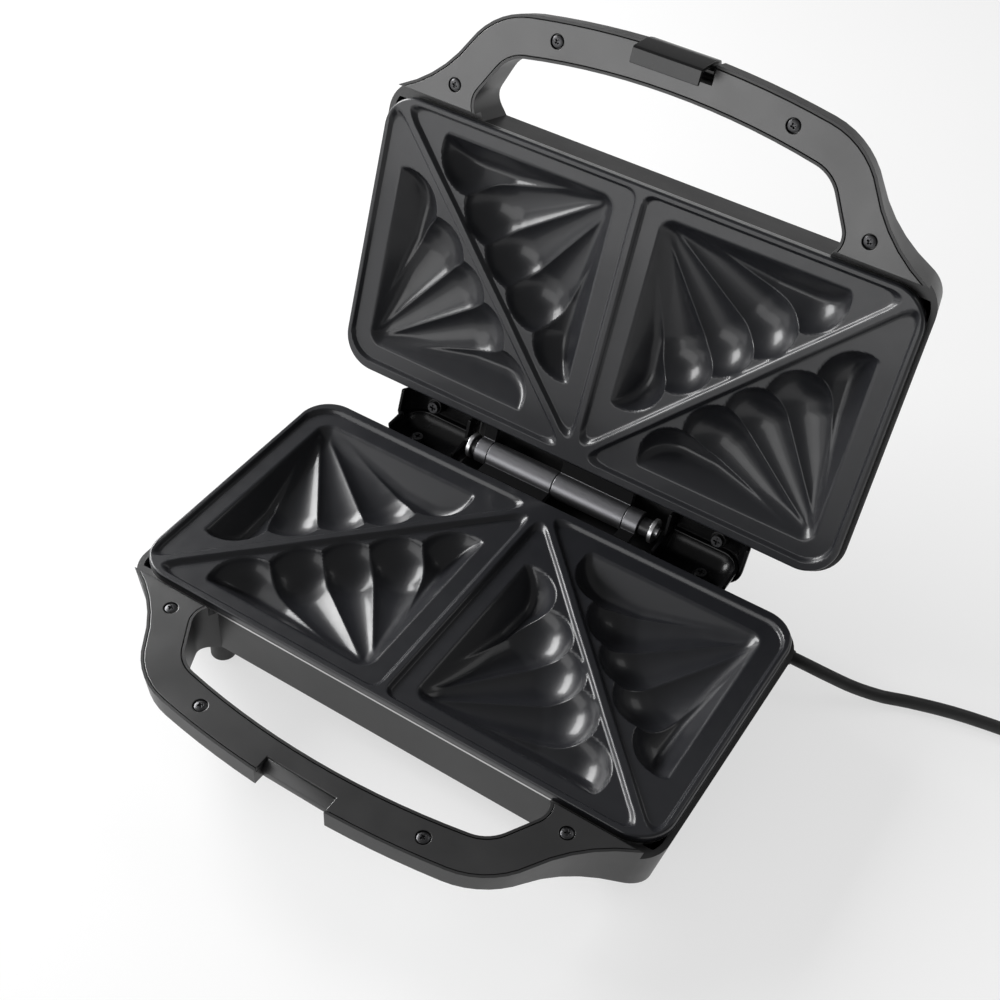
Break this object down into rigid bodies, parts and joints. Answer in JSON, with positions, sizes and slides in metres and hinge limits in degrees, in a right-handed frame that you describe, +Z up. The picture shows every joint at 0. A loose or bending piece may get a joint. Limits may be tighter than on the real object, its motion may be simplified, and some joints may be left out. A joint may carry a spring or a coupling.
{
  "type": "sandwich toaster",
  "caption": "Open hinged sandwich toaster with scalloped cooking plates, loop handles, a snap latch and a coiled mains cord.",
  "frame": {"origin": "on the table under the middle of the open toaster, cord left out of account", "axes": "+Z up from the table, +X to the right of someone facing the handle, +Y from the handle to the hinge"},
  "size_m": [0.501, 0.4164, 0.2511],
  "materials": {
    "housing": "satin black moulded plastic",
    "cover": "smooth satin black moulded plastic",
    "plate": "dark grey non-stick coating on cast aluminium, satin",
    "heater": "dull metal sheath",
    "tray": "bright sheet metal",
    "hinge_cover": "glossy black moulded plastic",
    "foot": "matt black rubber",
    "ceramic": "plain white ceramic look",
    "wire": "red insulated lead",
    "screw": "dark plated steel",
    "bright_steel": "bright steel",
    "bush": "black plastic",
    "red_lens": "clear red plastic",
    "green_lens": "clear green plastic",
    "lamp": "small glass lamp",
    "latch": "satin black plastic",
    "cord": "matt black flexible sheath",
    "tie": "black strap",
    "plug": "black moulded plastic"
  },
  "bodies": {
    "base": {"base_housing": "housing", "base_floor_panel": "housing", "base_handle_cover": "cover", "base_plate": "plate", "base_heater": "heater", "base_reflector": "tray", "base_hinge_cover_left": "hinge_cover", "base_hinge_cover_right": "hinge_cover", "foot_front_left": "foot", "foot_front_right": "foot", "foot_rear_left": "foot", "foot_rear_right": "foot", "thermostat": "ceramic", "thermal_fuse": "ceramic", "terminal_block": "ceramic", "base_wiring": "wire", "cord_outlet": "housing", "strain_relief": "cord", "base_handle_screws": "screw", "base_hinge_screws": "screw", "base_plate_screws": "screw", "floor_panel_screws": "screw", "hinge_pin": "bright_steel", "hinge_bushes": "bush", "hinge_washer_left": "bright_steel", "hinge_washer_right": "bright_steel", "cord": "cord", "cord_coil": "cord", "coil_tie": "tie", "plug": "plug", "plug_pins": "bright_steel", "plug_earth_clips": "bright_steel"},
    "lid": {"lid_housing": "housing", "lid_top_panel": "cover", "lid_handle_cover": "cover", "lid_plate": "plate", "lid_heater": "heater", "lid_reflector": "tray", "lid_hinge_cover_left": "hinge_cover", "lid_hinge_cover_right": "hinge_cover", "lid_wiring": "wire", "lid_handle_screws": "screw", "lid_hinge_screws": "screw", "lid_plate_screws": "screw", "power_lens": "red_lens", "ready_lens": "green_lens", "indicator_lamps": "lamp", "latch_pin": "bright_steel"},
    "latch": {"latch_clip": "latch"}
  },
  "joints": [
    {"name": "lid_hinge", "type": "hinge", "parent": "base", "child": "lid", "pos_m": [0, 0.06835, 0.046], "axis": [1, 0, 0], "range_deg": [0, 107.5]},
    {"name": "latch_pivot", "type": "hinge", "parent": "lid", "child": "latch", "pos_m": [0, 0.13686, 0.24333], "axis": [1, 0, 0], "range_deg": [-25, 8]}
  ]
}
